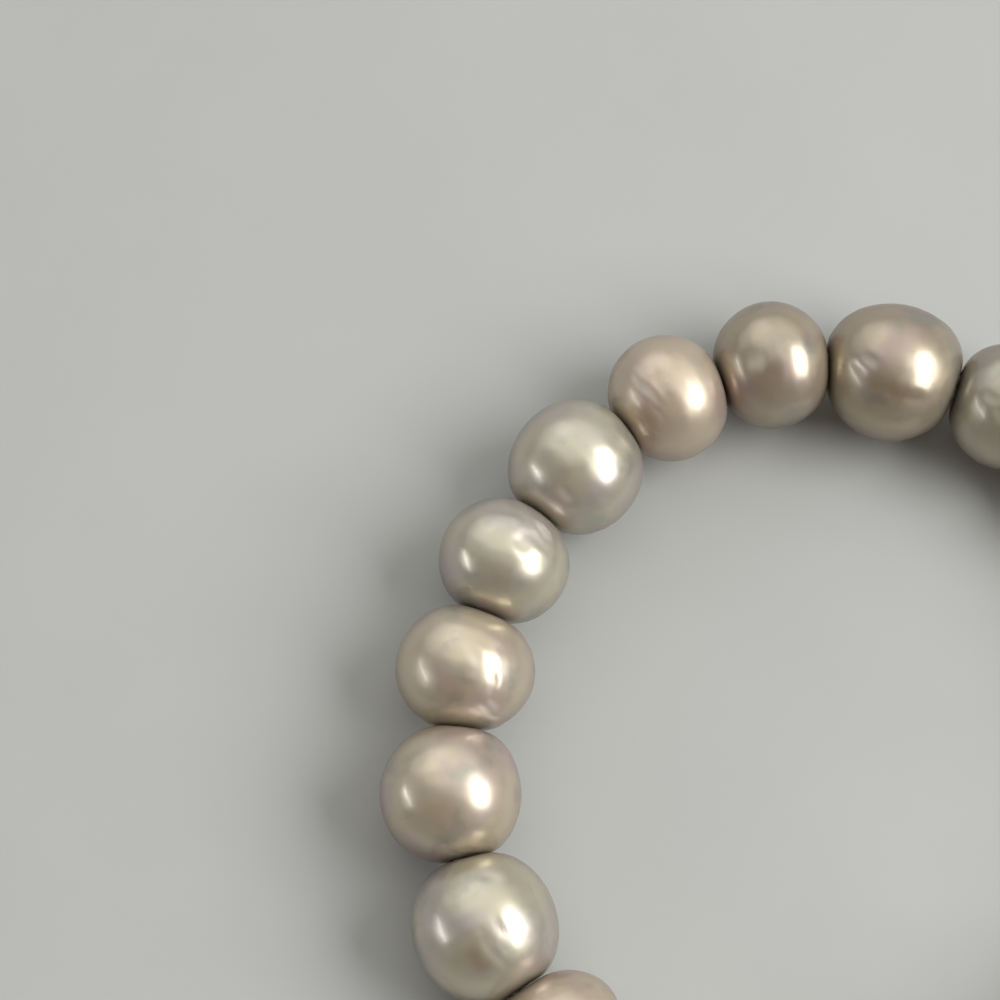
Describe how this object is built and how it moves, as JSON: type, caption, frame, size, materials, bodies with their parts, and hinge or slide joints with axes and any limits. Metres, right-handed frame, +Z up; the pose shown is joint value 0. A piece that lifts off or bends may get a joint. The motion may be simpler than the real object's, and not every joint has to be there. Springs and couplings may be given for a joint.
{
  "type": "pearl bracelet",
  "caption": "Stretch bracelet: a closed loop of near-round, slightly dented champagne and bronze pearls strung edge to edge on an elastic cord, lying flat.",
  "frame": {"origin": "on the surface that the bracelet lies on, under the middle of its bounding box", "axes": "+Z up out of the loop, through the wrist opening; +Y away from the viewer, towards the second pearl; +X to the viewer's right"},
  "size_m": [0.0686, 0.0678, 0.0101],
  "materials": {
    "pearl_champagne": "lustrous",
    "pearl_rose": "lustrous",
    "pearl_silver": "lustrous",
    "pearl_bronze": "lustrous",
    "pearl_olive": "lustrous",
    "elastic": "translucent"
  },
  "bodies": {
    "root": {"pearl_01": "pearl_olive", "pearl_02": "pearl_bronze", "pearl_03": "pearl_bronze", "pearl_04": "pearl_rose", "pearl_05": "pearl_silver", "pearl_06": "pearl_silver", "pearl_07": "pearl_champagne", "pearl_08": "pearl_champagne", "pearl_09": "pearl_silver", "pearl_10": "pearl_rose", "pearl_11": "pearl_champagne", "pearl_12": "pearl_silver", "pearl_13": "pearl_bronze", "pearl_14": "pearl_rose", "pearl_15": "pearl_champagne", "pearl_16": "pearl_olive", "pearl_17": "pearl_silver", "pearl_18": "pearl_rose", "pearl_19": "pearl_champagne", "pearl_20": "pearl_silver", "elastic_cord": "elastic"}
  },
  "joints": []
}
